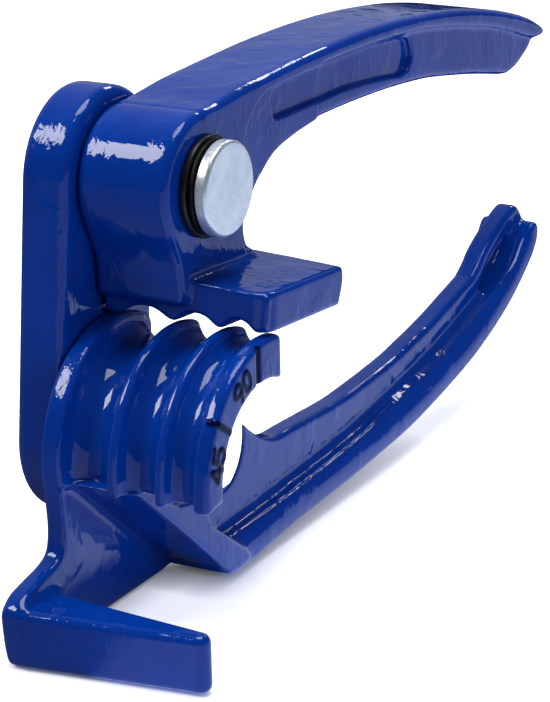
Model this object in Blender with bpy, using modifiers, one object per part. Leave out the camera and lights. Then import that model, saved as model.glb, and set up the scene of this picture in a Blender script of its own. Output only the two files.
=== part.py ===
"""Three-size hand tube bender, closed at the ninety-degree mark.

Frame: origin at the centre of the bounding box's underside, with the tool
standing on its hook.  +X runs from the hook to the handle ends, +Z is up and
-Y is the side of the pin heads and the degree face.  Metres.

The dimensions below are in millimetres from the centre axis of the former, on
the plane where the lower casting meets the swing link; each finished piece is
then moved by ORIGIN.
"""
import math

import bmesh
import bpy
from mathutils import Matrix, Vector

MM = 0.001

# ---------------------------------------------------------------- dimensions
FLOOR = -34.2                    # underside of the hook
GAP = 0.3                        # clearance between neighbouring pieces
ORIGIN = Vector((63.3, -15.4, FLOOR)) * MM     # middle of the underside

# pivots (X, Z)
LOW = (0.0, 0.0)
TOP = (6.5, 50.8)

# lower casting
PLATE_T = 4.3                    # frame plate thickness
PLATE_R = 18.9                   # the plate's round side about the low pivot
PLATE_FLOOR = FLOOR + 0.13       # underside of the frame plate
HUB_R = 18.6
HUB_FACE = -9.0                  # floor of the hollow

# former: grooves for 10, 8 and 6 mm tube
FORMER_R = 24.4                  # ridge radius
FORMER_CORE = 14.5               # inner radius of the turned former, inside the hollow
FORMER_FACE = -36.9              # degree face
FORMER_END = 188.0               # degrees from +X
FORMER_CUT = 9.2                 # X of the upright end
RIDGE_ROUND = 1.6                # rounded outer edge of the degree face
BORE_AT, FORMER_BORE = (-1.4, -0.3), 16.6      # the hollow, a little off the pivot
GROOVES = ((-9.55, 5.2), (-21.05, 4.1), (-30.40, 3.1))     # centre Y, radius

# lower handle
EYE = (21.9, -9.1)               # centre of the opening between the hub and the web
EYE_R = 9.8
RELIEF_BACK, RELIEF_DEEP = 2.0, -12.6          # Y range of the 45-degree relief cone

# swing link
LINK_Y0, LINK_Y1 = GAP, 10.8
LINK_R_LOW, LINK_R_TOP = 16.6, 17.3
SEAT_DEPTH = 1.5                 # washer seat on the -Y side
BACK_FLOOR = LINK_Y1 - 3.0       # floor of the counterbore on the +Y side

# upper casting
HEAD_R = 14.4
HEAD_FACE = -20.0                # also the face of the lower handle's flange
SPINE_INSET = 0.07               # each side of the handle's spine
BODY_INSET = 1.7                 # each side of the handle's body
POCKET_DEPTH = 3.4               # from the planes of the head's two sides
SHOE_PLANE = 24.95               # distance of the shoe's ridges from the axis
SHOE_TOP = 34.0
SHOE_GROOVE = 2.1                # depth of the shallow grooves in the shoe
SHOE_TILT = 5.0                  # degrees, down towards +X

# pins, bushes and washers
PIN_R = 5.7
PIN_END = LINK_Y1 + 0.3
PIN_HEAD_R, PIN_HEAD_T = 9.2, 2.6
PIN_HEAD_ROUND, PIN_HEAD_CHAMFER = 0.9, 0.3
PIN_GROOVE_DEPTH, PIN_GROOVE_HALF = 1.2, 0.65
BUSH_BORE_R, BUSH_R = 6.0, 7.5
BUSH_INSET = 0.4
BORE_R = BUSH_R + GAP
WASHER_R = 10.0
WASHER_BORE_R = PIN_R + GAP
THRUST_T, BACK_WASHER_T = 1.2, 1.0
CBORE_R = 9.6

# wave washer
WAVE_R, WAVE_T = WASHER_R - 0.5, 0.7
WAVE_HEIGHT = 0.3
WAVE_STACK = 2.6                 # casting washer and wave washer together

# retaining rings: radii, then angles in degrees
CLIP_Y = BACK_FLOOR + 2.05       # middle of the clip and of the pin's groove
CLIP_HALF_T = 0.4
CLIP_R, CLIP_INNER_R, CLIP_LUG_R = PIN_R + 2.6, PIN_R + 0.7, PIN_R - 0.9
CLIP_HALF_GAP, CLIP_TAPER = 28, 12
CLIP_LUGS, CLIP_LUG_HALF = (52, 180, 308), 16  # lug centres from the gap, half width

# Y planes where cutters end, clear of the castings and the link
CASTING_BACK, HEAD_FRONT, FORMER_FRONT = 5, -30, -45
LINK_FRONT, LINK_BACK = -5, 20

SEAL_DISTANCES = (0.0, 1e-7, 5e-7, 1e-6, 2e-6, 4e-6, 8e-6, 1.5e-5, 3e-5)      # metres
WELD_DISTANCE = 5e-7                                                          # metres
SHARP_ANGLE = math.radians(35)


# ------------------------------------------------------------------- outlines
def arc(cx, cz, r, a0, a1, n):
    """Points on a circle, angles in degrees from +X, counter-clockwise when a1 > a0."""
    out = []
    for i in range(n + 1):
        a = math.radians(a0 + (a1 - a0) * i / n)
        out.append((cx + r * math.cos(a), cz + r * math.sin(a)))
    return out


def smooth(points, steps=3):
    """Catmull-Rom curve through a run of points, open at both ends."""
    pts = [Vector(p) for p in points]
    pts = [pts[0] * 2 - pts[1]] + pts + [pts[-1] * 2 - pts[-2]]
    out = []
    for i in range(1, len(pts) - 2):
        p0, p1, p2, p3 = pts[i - 1:i + 3]
        for k in range(steps):
            t = k / steps
            q = 0.5 * ((2 * p1) + (p2 - p0) * t + (2 * p0 - 5 * p1 + 4 * p2 - p3) * t * t
                       + (3 * p1 - p0 - 3 * p2 + p3) * t * t * t)
            out.append((q.x, q.y))
    out.append((pts[-2].x, pts[-2].y))
    return out


def tidy(points, least=0.05):
    """Drops points that repeat their neighbour."""
    out = []
    for p in points:
        if not out or math.dist(out[-1], p) > least:
            out.append(p)
    while math.dist(out[0], out[-1]) <= least:
        out.pop()
    return out


# --------------------------------------------------------------------- meshes
def weld(mesh):
    bm = bmesh.new()
    bm.from_mesh(mesh)
    bmesh.ops.remove_doubles(bm, verts=bm.verts, dist=WELD_DISTANCE)
    bmesh.ops.recalc_face_normals(bm, faces=bm.faces)
    bm.to_mesh(mesh)
    bm.free()


def seal(mesh):
    """Closes the hairline slivers a cut can leave, by merging points that all but touch."""
    for dist in SEAL_DISTANCES:
        bm = bmesh.new()
        bm.from_mesh(mesh)
        if dist:
            bmesh.ops.remove_doubles(bm, verts=bm.verts, dist=dist)
            bmesh.ops.dissolve_degenerate(bm, dist=dist, edges=bm.edges)
        closed = all(len(edge.link_faces) == 2 for edge in bm.edges)
        if closed and dist:
            bm.to_mesh(mesh)
        bm.free()
        if closed:
            return


def evaluated_mesh(ob):
    bpy.context.view_layer.update()
    deps = bpy.context.evaluated_depsgraph_get()
    return bpy.data.meshes.new_from_object(ob.evaluated_get(deps), depsgraph=deps)


def bake(ob):
    """Replaces an object's mesh by what its modifiers make of it."""
    mesh = evaluated_mesh(ob)
    ob.modifiers.clear()
    ob.data = mesh


def work_object(data):
    ob = bpy.data.objects.new("work", data)
    work_col.objects.link(ob)
    return ob


def outline_solid(points, a, b, plane="XZ", bevel=0.0, segments=2, angle=40):
    """Flat outline in millimetres, filled and given thickness from a to b.

    Plane XZ gives thickness along Y, plane XY gives it along Z.
    """
    points = tidy(points)
    curve = bpy.data.curves.new("outline", "CURVE")
    curve.dimensions = "2D"
    curve.fill_mode = "BOTH"
    curve.extrude = abs(b - a) * 0.5 * MM
    spline = curve.splines.new("POLY")
    spline.points.add(len(points) - 1)
    for p, q in zip(spline.points, points):
        p.co = (q[0] * MM, q[1] * MM, 0, 1)
    spline.use_cyclic_u = True
    guide = work_object(curve)
    mesh = evaluated_mesh(guide)
    bpy.data.objects.remove(guide)
    mid = (a + b) * 0.5 * MM
    if plane == "XZ":
        place = Matrix(((1, 0, 0, 0), (0, 0, 1, mid), (0, 1, 0, 0), (0, 0, 0, 1)))
    else:
        place = Matrix.Translation((0, 0, mid))
    mesh.transform(place)
    weld(mesh)
    ob = work_object(mesh)
    if bevel:
        mod = ob.modifiers.new("edges", "BEVEL")
        mod.width = bevel * MM
        mod.segments = segments
        mod.limit_method = "ANGLE"
        mod.angle_limit = math.radians(angle)
        bake(ob)
        weld(ob.data)
    return ob


def turned(profile, centre=(0.0, 0.0), steps=36):
    """Profile of (radius, Y) turned about the Y axis through centre.

    The profile is closed unless it starts and ends on the axis.
    """
    verts = [(r * MM, 0.0, y * MM) for r, y in profile]
    edges = [(i, (i + 1) % len(verts)) for i in range(len(verts))]
    if profile[0][0] < 1e-6 and profile[-1][0] < 1e-6:
        edges.pop()
    mesh = bpy.data.meshes.new("profile")
    mesh.from_pydata(verts, edges, [])
    ob = work_object(mesh)
    screw = ob.modifiers.new("turn", "SCREW")
    screw.axis = "Z"
    screw.steps = screw.render_steps = steps
    screw.use_merge_vertices = True
    screw.merge_threshold = 1e-6
    bake(ob)
    # lay the turned axis along Y
    ob.data.transform(Matrix(((1, 0, 0, centre[0] * MM), (0, 0, 1, 0),
                              (0, -1, 0, centre[1] * MM), (0, 0, 0, 1))))
    weld(ob.data)
    return ob


def cylinder(r, y0, y1, centre, steps):
    return turned([(0, y0), (r, y0), (r, y1), (0, y1)], centre, steps)


def combine(base, operation, tools):
    for tool in tools:
        mod = base.modifiers.new(operation.lower(), "BOOLEAN")
        mod.operation = operation
        mod.solver = "EXACT"
        mod.object = tool
        bake(base)
        bpy.data.objects.remove(tool)
        seal(base.data)


def union(base, *tools):
    combine(base, "UNION", tools)


def cut(base, *tools):
    combine(base, "DIFFERENCE", tools)


# ---------------------------------------------------------- scene and finish
def collection(name):
    col = bpy.data.collections.new(name)
    bpy.context.scene.collection.children.link(col)
    return col


def material(name, colour, metallic, roughness, coat=0.0):
    mat = bpy.data.materials.new(name)
    mat.use_nodes = True
    shader = mat.node_tree.nodes["Principled BSDF"]
    shader.inputs["Base Color"].default_value = (*colour, 1)
    shader.inputs["Metallic"].default_value = metallic
    shader.inputs["Roughness"].default_value = roughness
    shader.inputs["Coat Weight"].default_value = coat
    return mat


def pivot(name, at, parent=None):
    empty = bpy.data.objects.new(name, None)
    empty.empty_display_size = 0.01
    part_col.objects.link(empty)
    empty.location = Vector((at[0] * MM, 0, at[1] * MM)) - ORIGIN
    if parent is not None:
        empty.parent = parent
        empty.location = empty.location - parent.location
    bpy.context.view_layer.update()
    return empty


def finish(ob, name, mat, parent):
    """Names a piece, moves it to the part's collection and hangs it on its pivot."""
    work_col.objects.unlink(ob)
    part_col.objects.link(ob)
    ob.name = ob.data.name = name
    ob.data.transform(Matrix.Translation(-ORIGIN))
    ob.data.materials.clear()
    ob.data.materials.append(mat)
    ob.data.shade_smooth()
    ob.data.set_sharp_from_angle(angle=SHARP_ANGLE)
    if parent is not None:
        ob.data.transform(Matrix.Translation(-parent.matrix_world.translation))
        ob.parent = parent


# ------------------------------------------------------------- lower casting
# All outlines in this section and the next are (X, Z) unless noted.
def frame_plate():
    """Round about the pivot, flat underneath, drawn out to the hook."""
    hook_side = smooth([
        (-24.2, -2.0), (-23.6, -8.0), (-23.4, -13.0), (-24.4, -16.6), (-27.5, -18.2),
        (-33.0, -19.4), (-37.4, -20.6), (-39.6, -22.8), (-39.8, -25.5), (-39.0, -31.0),
        (-37.6, -33.6), (-35.6, PLATE_FLOOR)])
    outline = (arc(*LOW, PLATE_R, -28, 48.0, 12)
               + [(11.9, 16.2), (11.9, 19.8), (11.4, 21.2)]
               + arc(*LOW, FORMER_R, 63.5, 178, 26)
               + hook_side
               + [(13.0, PLATE_FLOOR), (16.6, -33.2), (20.5, -27.0), (21.6, -18.0)])
    return outline_solid(outline, 0, -PLATE_T, bevel=0.8, segments=1)


def former_profile():
    """Section of the former: ridges at full radius, a half-round groove for each tube."""
    pts = [(FORMER_CORE, 0.0), (FORMER_R, 0.0)]
    groove_steps, round_steps = 8, 3
    for groove_y, r in GROOVES:
        for i in range(groove_steps + 1):
            a = math.pi * i / groove_steps
            pts.append((FORMER_R - r * math.sin(a), groove_y + r * math.cos(a)))
    for i in range(round_steps + 1):
        a = math.radians(90 * i / round_steps)
        pts.append((FORMER_R - RIDGE_ROUND * (1 - math.cos(a)),
                    FORMER_FACE + RIDGE_ROUND * (1 - math.sin(a))))
    pts.append((FORMER_CORE, FORMER_FACE))
    return pts


def grooved_former():
    former = turned(former_profile(), steps=66)
    wedge = ([(0, 0), (FORMER_CUT, 8.0), (FORMER_CUT, 42.0)]
             + arc(*LOW, 43, 79, FORMER_END, 12))
    combine(former, "INTERSECT", [outline_solid(wedge, CASTING_BACK, FORMER_FRONT)])
    # (X, Y) notch in the degree face beside the upright end
    notch = [(5.5, FORMER_FRONT), (5.5, -33.8), (9.7, -29.9), (15, -29.9), (15, FORMER_FRONT)]
    cut(former, outline_solid(notch, 5, 32, plane="XY"))
    return former


def diagonal_wall():
    """Wall below the former, carrying the handle."""
    outline = [
        (-22.9, -2.6), (-20.4, -3.4), (-17.6, -5.6), (12.0, -30.6), (14.2, -32.0),
        (17.0, -32.4), (22.0, -31.6), (19.5, -28.3), (12.0, -22.8), (7.5, -19.6),
        (5.9, -17.6), (5.6, -12.0), (-6.0, -10.0), (-16.0, -2.0)]
    return outline_solid(outline, -1.0, HEAD_FACE, bevel=0.8, segments=1)


def handle_flange():
    """Broad flange along the lower edge of the lower handle."""
    under = smooth([
        (13.0, -32.2), (17.0, -32.9), (25.3, -32.6), (38.7, -31.5), (52.1, -30.9),
        (65.9, -30.3), (80.3, -29.4), (95.1, -28.2), (110.5, -25.8), (126.5, -22.5),
        (134.7, -20.1), (143.0, -17.1), (151.5, -13.1), (160.0, -7.6), (163.4, -4.4),
        (164.8, -1.4), (164.7, 0.4)])
    upper = smooth([
        (163.6, 1.6), (161.6, 1.2), (158.6, -1.8), (152.0, -6.6), (143.0, -10.6),
        (131.0, -14.2), (118.0, -17.2), (104.0, -19.6), (92.0, -21.2), (80.0, -22.7),
        (67.9, -23.7), (50.0, -24.6), (30.0, -25.4), (17.0, -25.6), (13.0, -25.6)])
    return outline_solid(under + upper, -3.0, HEAD_FACE, bevel=0.7, segments=1)


def handle_web():
    """Recessed web, thinning towards the opening beside the hub."""
    top = smooth([
        (31.4, -6.4), (34.4, -9.4), (38.6, -12.0), (43.5, -13.4), (50.0, -13.7),
        (60.0, -14.2), (72.0, -14.7), (85.7, -14.2), (99.0, -13.3), (107.0, -12.2),
        (115.0, -11.0), (123.0, -9.5), (131.0, -7.7), (138.8, -6.0)])
    tail = smooth([
        (138.8, -6.0), (142.2, -4.0), (145.6, -1.4), (150.6, 1.2), (156.0, 3.4),
        (160.4, 4.9), (163.0, 5.2), (165.2, 3.6), (166.2, 1.2), (165.6, -1.8),
        (162.6, -5.2)])
    low = smooth([
        (162.6, -5.2), (155.0, -10.2), (147.0, -14.2), (137.0, -18.0), (125.0, -21.4),
        (109.0, -24.6), (91.0, -27.0), (73.6, -28.4), (56.9, -29.2), (40.7, -30.0),
        (25.0, -31.0), (15.0, -31.0)])
    outline = (top + tail + low + [(6.0, -24.6), (4.0, -20.6), (8.6, -18.4)]
               + arc(*EYE, EYE_R, -122, 15, 14))
    web = outline_solid(outline, -9.2, -14.6, bevel=1.0)
    relief_r = EYE_R + RELIEF_BACK - RELIEF_DEEP
    cut(web, turned([(0, RELIEF_BACK), (relief_r, RELIEF_BACK), (EYE_R, RELIEF_DEEP),
                     (0, RELIEF_DEEP)], EYE, 44))
    return web


def finger_stop():
    """Raised rim on the upper edge of the handle's tail."""
    upper = smooth([
        (139.6, -6.8), (142.6, -4.4), (146.0, -1.9), (150.8, 0.6), (156.0, 2.8),
        (160.2, 4.3), (162.8, 4.6), (164.6, 3.2), (165.5, 1.0), (165.0, -1.6)])
    lower = smooth([
        (161.8, -1.2), (160.4, 0.6), (156.6, 0.0), (151.4, -2.2), (146.6, -4.8),
        (143.0, -7.6)])
    return outline_solid(upper + lower, -8.4, -16.8, bevel=0.8, segments=1)


def tube_hook():
    """Bar across all three grooves, narrowing towards its tip; (X, Y) outline."""
    plan = ([(-40.0, -1.2), (-40.2, -4.6), (-37.4, -25.0), (-35.9, -37.2)]
            + arc(-33.5, -39.6, 2.3, 200, 345, 6)
            + [(-30.9, -36.0), (-29.6, -22.0), (-28.0, -6.6), (-27.0, -3.4), (-27.0, -1.2)])
    return outline_solid(plan, FLOOR, -22.4, plane="XY", bevel=1.5, angle=50)


def lower_casting():
    casting = frame_plate()
    # the hub's round is closed by a chord at its lower left
    hub = outline_solid(arc(*LOW, HUB_R, -95.6, 195.0, 40), -0.6, HUB_FACE)
    union(casting, hub, grooved_former(), diagonal_wall())
    hollow = arc(*BORE_AT, FORMER_BORE, -40, 185, 40) + [(-5.55, -11.2), (11.0, -11.2)]
    cut(casting,
        outline_solid(hollow, HUB_FACE, FORMER_FRONT),
        cylinder(BORE_R, CASTING_BACK, HEAD_FRONT, LOW, 28))
    # joined after the hollow is cut, so that it leaves them whole
    union(casting, handle_flange(), handle_web(), finger_stop(), tube_hook())
    finish(casting, "lower_casting", paint, None)


# ---------------------------------------------------------------- swing link
def link_plate():
    """Plate with two round ends joined by their common tangents."""
    dx, dz = TOP[0] - LOW[0], TOP[1] - LOW[1]
    lean = math.degrees(math.atan2(dz, dx))
    taper = math.degrees(math.asin((LINK_R_TOP - LINK_R_LOW) / math.hypot(dx, dz)))
    outline = (arc(*TOP, LINK_R_TOP, lean - 90 - taper, lean + 90 + taper, 28)
               + arc(*LOW, LINK_R_LOW, lean + 90 + taper, lean + 270 - taper, 26))
    link = outline_solid(outline, LINK_Y0, LINK_Y1, bevel=1.6)
    for centre in (LOW, TOP):
        cut(link,
            cylinder(WASHER_BORE_R, LINK_FRONT, LINK_BACK, centre, 28),
            cylinder(WASHER_R + GAP, LINK_FRONT, LINK_Y0 + SEAT_DEPTH, centre, 32),
            cylinder(CBORE_R, BACK_FLOOR, LINK_BACK, centre, 32))
    finish(link, "link_plate", paint, link_axis)


# ------------------------------------------------------------- upper casting
def pivot_head():
    """Round about the top pivot, with a neck down to the shoe."""
    neck_left = smooth([(-7.2, 46.6), (-5.6, 43.0), (-3.9, 39.6), (-2.7, 36.0), (-2.4, 32.0)])
    neck_right = smooth([
        (27.6, 31.2), (25.8, 34.2), (24.8, 37.4), (25.8, 40.4), (30.6, 45.2),
        (37.2, 49.4), (46.0, 51.2), (56.0, 52.0)])
    outline = (arc(*TOP, HEAD_R, 92, 188, 16) + neck_left + [(-2.0, 29.2), (22.6, 28.3)]
               + neck_right + [(56.0, 66.0), (35.0, 66.0), (14.0, 65.6)])
    return outline_solid(outline, 0, HEAD_FACE, bevel=1.3)


def handle_spine():
    """Broad rounded upper edge of the handle."""
    upper = smooth([
        (10.0, 65.3), (22.0, 66.2), (36.0, 66.6), (52.0, 66.8), (64.0, 66.7),
        (77.0, 66.3), (90.0, 65.5), (104.0, 64.1), (118.7, 62.1), (133.8, 59.2),
        (147.0, 55.9), (157.5, 52.6), (163.6, 50.0), (166.6, 48.3)])
    lower = smooth([
        (166.8, 46.6), (163.0, 46.6), (157.8, 47.9), (141.2, 53.2), (120.0, 57.9),
        (104.9, 60.5), (90.4, 61.9), (70.0, 62.9), (50.0, 63.2), (36.0, 62.8),
        (14.0, 62.0), (10.0, 61.0)])
    return outline_solid(upper + lower, -SPINE_INSET, HEAD_FACE + SPINE_INSET, bevel=1.1)


def handle_body():
    """Narrower body below the spine."""
    lower = smooth([
        (153.0, 41.0), (148.8, 41.0), (138.3, 43.2), (130.3, 44.9), (122.5, 46.4),
        (114.8, 47.8), (107.2, 49.0), (92.6, 50.5), (78.5, 51.4), (64.9, 51.9),
        (56.0, 51.9), (46.4, 50.9), (38.4, 49.2), (32.0, 45.8)])
    upper = [
        (26.0, 60.0), (36.0, 64.4), (50.0, 64.8), (70.0, 64.4), (93.0, 63.2),
        (113.0, 60.8), (132.0, 57.4), (148.0, 53.2), (161.0, 48.6)]
    tip = [(163.4, 47.2), (161.8, 44.6), (157.2, 42.4)]
    return outline_solid(lower + upper + tip, -BODY_INSET, HEAD_FACE + BODY_INSET, bevel=1.4)


def grooved_shoe():
    """Flat block with a straight shallow groove for each tube."""
    # (X, Y) outline
    plan = ([(-2.6, -0.8), (28.6, -0.8), (28.6, FORMER_FACE)]
            + arc(1.4, -32.9, 4.0, -90, -180, 5))
    shoe = outline_solid(plan, SHOE_PLANE, SHOE_TOP, plane="XY", bevel=0.8, angle=50)
    # trims the +X end
    end_trim = [(27.6, 22.0), (27.6, 25.9), (29.2, 29.9), (27.4, 37.9), (34.0, 37.9),
                (34.0, 22.0)]
    cut(shoe, outline_solid(end_trim, CASTING_BACK, FORMER_FRONT))
    for groove_y, half in GROOVES:
        # as wide as the former's groove
        r = (half * half + SHOE_GROOVE * SHOE_GROOVE) / (2 * SHOE_GROOVE)
        groove = cylinder(r, -60, 60, (0, 0), 48)
        groove.data.transform(
            Matrix.Translation((0.0, groove_y * MM, (SHOE_PLANE + SHOE_GROOVE - r) * MM))
            @ Matrix.Rotation(math.radians(90), 4, "Z"))
        cut(shoe, groove)
    shoe.data.transform(Matrix.Rotation(math.radians(SHOE_TILT), 4, "Y"))
    return shoe


def pocket_outline():
    """Long pocket in each side of the handle's body."""
    lower = smooth([
        (38.0, 56.2), (52.8, 55.8), (61.0, 55.5), (70.4, 55.3), (84.2, 54.0), (93.6, 52.7)])
    upper = smooth([
        (93.8, 60.8), (82.0, 61.7), (70.0, 62.2), (50.0, 62.7), (38.0, 62.4)])
    return (lower + [(97.4, 53.0), (99.6, 55.4), (98.8, 59.0), (97.4, 60.2)]
            + upper + [(36.4, 60.0)])


def step_outline():
    """Area where the head's -Y face is set back to the body's."""
    upper = smooth([(22.6, 52.0), (23.6, 56.6), (26.6, 60.4), (31.1, 62.9), (36.4, 63.6)], 4)
    left = smooth([(21.7, 36.0), (21.5, 41.0), (22.0, 47.0)])
    return upper + [(57.0, 63.3), (57.0, 48.0), (36.0, 33.2), (22.6, 33.6)] + left


def upper_casting():
    casting = pivot_head()
    union(casting, grooved_shoe(), handle_spine(), handle_body())
    cut(casting,
        outline_solid(pocket_outline(), HEAD_FACE + POCKET_DEPTH, HEAD_FRONT),
        outline_solid(pocket_outline(), -POCKET_DEPTH, 10),
        outline_solid(step_outline(), HEAD_FACE + BODY_INSET, HEAD_FRONT),
        cylinder(BORE_R, CASTING_BACK, HEAD_FRONT, TOP, 28))
    finish(casting, "upper_casting", paint, handle_axis)


# --------------------------------------------------------------- pivot sets
def washer(outer_r, y0, y1, centre, chamfer=0.15, steps=32):
    """Flat washer with broken outer edges."""
    return turned([(WASHER_BORE_R, y0), (outer_r - chamfer, y0), (outer_r, y0 + chamfer),
                   (outer_r, y1 - chamfer), (outer_r - chamfer, y1), (WASHER_BORE_R, y1)],
                  centre, steps)


def wave_washer(y0, centre):
    """Washer bent into three shallow waves."""
    ob = washer(WAVE_R, y0, y0 + WAVE_T, centre, chamfer=0.1, steps=36)
    for v in ob.data.vertices:
        a = math.atan2(v.co.z - centre[1] * MM, v.co.x - centre[0] * MM)
        v.co.y += WAVE_HEIGHT * 0.5 * (1 + math.cos(3 * a)) * MM
    ob.data.update()
    return ob


def headed_pin(under_head, centre):
    """Head with a rounded edge, shank, groove for the ring and a chamfered end."""
    groove_r = PIN_R - PIN_GROOVE_DEPTH
    groove_y0, groove_y1 = CLIP_Y - PIN_GROOVE_HALF, CLIP_Y + PIN_GROOVE_HALF
    head_y0 = under_head - PIN_HEAD_T
    profile = [(0, PIN_END), (PIN_R - 0.8, PIN_END), (PIN_R, PIN_END - 0.7),
               (PIN_R, groove_y1), (groove_r, groove_y1),
               (groove_r, groove_y0), (PIN_R, groove_y0),
               (PIN_R, under_head), (PIN_HEAD_R - PIN_HEAD_CHAMFER, under_head),
               (PIN_HEAD_R, under_head - PIN_HEAD_CHAMFER)]
    steps = 4
    for i in range(steps + 1):
        a = math.radians(90 * i / steps)
        profile.append((PIN_HEAD_R - PIN_HEAD_ROUND + PIN_HEAD_ROUND * math.cos(a),
                        head_y0 + PIN_HEAD_ROUND - PIN_HEAD_ROUND * math.sin(a)))
    profile.append((0, head_y0))
    return turned(profile, centre)


def bush(face, centre):
    y0, y1 = face + BUSH_INSET, -BUSH_INSET
    return turned([(BUSH_BORE_R, y0), (BUSH_R, y0), (BUSH_R, y1), (BUSH_BORE_R, y1)],
                  centre, 28)


def retaining_ring(centre, gap_angle):
    """E-shaped clip: a collar open at one side with three lugs that grip the groove."""
    points = arc(0, 0, CLIP_R, gap_angle + CLIP_HALF_GAP, gap_angle + 360 - CLIP_HALF_GAP, 30)
    start = gap_angle + 360 - CLIP_HALF_GAP - CLIP_TAPER
    sweep = 360 - 2 * CLIP_HALF_GAP - 2 * CLIP_TAPER
    steps = 60
    for i in range(steps + 1):
        a = start - sweep * i / steps
        on_lug = any(abs((a - (gap_angle + lug) + 180) % 360 - 180) < CLIP_LUG_HALF
                     for lug in CLIP_LUGS)
        r = CLIP_LUG_R if on_lug else CLIP_INNER_R
        points.append((r * math.cos(math.radians(a)), r * math.sin(math.radians(a))))
    points = [(x + centre[0], z + centre[1]) for x, z in points]
    return outline_solid(points, CLIP_Y - CLIP_HALF_T, CLIP_Y + CLIP_HALF_T)


def pivot_set(level, end, centre, face, washer_t, washer_mat, stack, bush_parent, clip_gap):
    """Pin, bush, washers and clip at one pivot.

    face is the casting's -Y face and stack the thickness between it and the
    pin's head, without clearances; clip_gap is in degrees from +X.
    """
    washer_y = face - GAP
    back_y = BACK_FLOOR + GAP
    for ob, name, mat, parent in (
            (washer(WASHER_R, washer_y - washer_t, washer_y, centre),
             level + "_pin_washer", washer_mat, link_axis),
            (headed_pin(washer_y - (stack + GAP), centre), level + "_pin", zinc, link_axis),
            (bush(face, centre), level + "_bush", bronze, bush_parent),
            (washer(WASHER_R, LINK_Y0, LINK_Y0 + THRUST_T, centre),
             end + "_thrust_washer", nylon, link_axis),
            (washer(CBORE_R - 0.4, back_y, back_y + BACK_WASHER_T, centre),
             end + "_back_washer", zinc, link_axis),
            (retaining_ring(centre, clip_gap), end + "_retaining_ring", spring, link_axis)):
        finish(ob, name, mat, parent)


# ------------------------------------------------------------------ assembly
for old in list(bpy.data.objects):
    bpy.data.objects.remove(old, do_unlink=True)

part_col = collection("tube_bender")
work_col = collection("cutters")

paint = material("blue_enamel", (0.004, 0.030, 0.24), metallic=0.0, roughness=0.12, coat=1.0)
zinc = material("zinc_plate", (0.66, 0.68, 0.68), metallic=1.0, roughness=0.28)
black = material("black_oxide", (0.012, 0.012, 0.013), metallic=0.6, roughness=0.42)
spring = material("spring_steel", (0.16, 0.14, 0.11), metallic=1.0, roughness=0.35)
bronze = material("sintered_bronze", (0.45, 0.30, 0.14), metallic=1.0, roughness=0.45)
nylon = material("nylon", (0.70, 0.68, 0.60), metallic=0.0, roughness=0.5)

link_axis = pivot("link_axis", LOW)
handle_axis = pivot("handle_axis", TOP, link_axis)

lower_casting()
link_plate()
upper_casting()
pivot_set("upper", "top", TOP, HEAD_FACE, washer_t=1.3, washer_mat=black,
          stack=WAVE_STACK, bush_parent=handle_axis, clip_gap=215)
finish(wave_washer(HEAD_FACE - GAP - WAVE_STACK, TOP), "upper_wave_washer", spring, link_axis)
pivot_set("lower", "low", LOW, HUB_FACE, washer_t=1.5, washer_mat=zinc,
          stack=1.5, bush_parent=None, clip_gap=305)
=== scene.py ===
"""Looks of a hand tube bender: two enamelled castings joined by a swing link on two pins.

The castings are meshed from distance fields with cast fillets, the pins and washers are turned.
Shapes are drawn in millimetres from the former's axis, which runs along Y. The handles reach
towards +X, the front (the former's marked face and the pin heads) faces -Y, the link is at +Y.
"""
import math

import bmesh
import bpy
import numpy as np
from mathutils import Matrix, Vector


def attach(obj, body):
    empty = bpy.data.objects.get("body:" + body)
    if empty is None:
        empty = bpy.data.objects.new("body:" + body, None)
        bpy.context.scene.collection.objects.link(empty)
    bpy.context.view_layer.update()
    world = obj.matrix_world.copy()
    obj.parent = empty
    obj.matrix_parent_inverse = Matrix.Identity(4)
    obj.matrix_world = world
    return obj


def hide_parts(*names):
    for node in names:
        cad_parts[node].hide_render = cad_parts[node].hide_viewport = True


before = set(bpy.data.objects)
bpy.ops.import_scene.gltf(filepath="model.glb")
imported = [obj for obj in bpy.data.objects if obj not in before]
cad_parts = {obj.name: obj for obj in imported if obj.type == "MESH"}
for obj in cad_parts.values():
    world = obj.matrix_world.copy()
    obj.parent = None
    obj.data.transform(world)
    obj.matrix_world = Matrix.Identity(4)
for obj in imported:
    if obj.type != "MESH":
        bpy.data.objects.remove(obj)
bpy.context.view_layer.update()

F32 = np.float32
MM = 0.001
VOXEL = 0.36

# ------------------------------------------------------------------ dimensions, mm
FLOOR = -34.2                              # height of the underside
ORIGIN = np.array([63.3, -15.4, FLOOR])    # the scene's origin in the drawing
LOW, TOP = (0.0, 0.0), (6.5, 50.8)         # pin axes (X, Z)

FORMER_R, FORMER_CORE, FORMER_FACE = 24.4, 14.5, -36.9
BORE_AT, FORMER_BORE = (-1.4, -0.3), 16.6
FORMER_CUT, FORMER_END = 9.2, 188.0        # upright end's X, other end's angle
GROOVES = ((-9.55, 5.2), (-21.05, 4.1), (-30.40, 3.1))     # middle Y, radius
MARK_Y = FORMER_FACE + 0.05
MARK_DEPTH_SEARCH = 2.2                    # vertices this near the front face can be marked

PLATE_T, HUB_FACE = 4.3, -9.0
HEAD_R, HEAD_FACE = 14.4, -20.0
EYE, EYE_R = (19.1, -8.0), 9.3             # opening between hub and web, on the web's front
SHOE_PLANE, SHOE_TOP, SHOE_GROOVE, SHOE_TILT = 24.95, 34.0, 2.1, 5.0
UPPER_EDGE, POCKET_DEPTH = 1.7, 3.2

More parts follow.
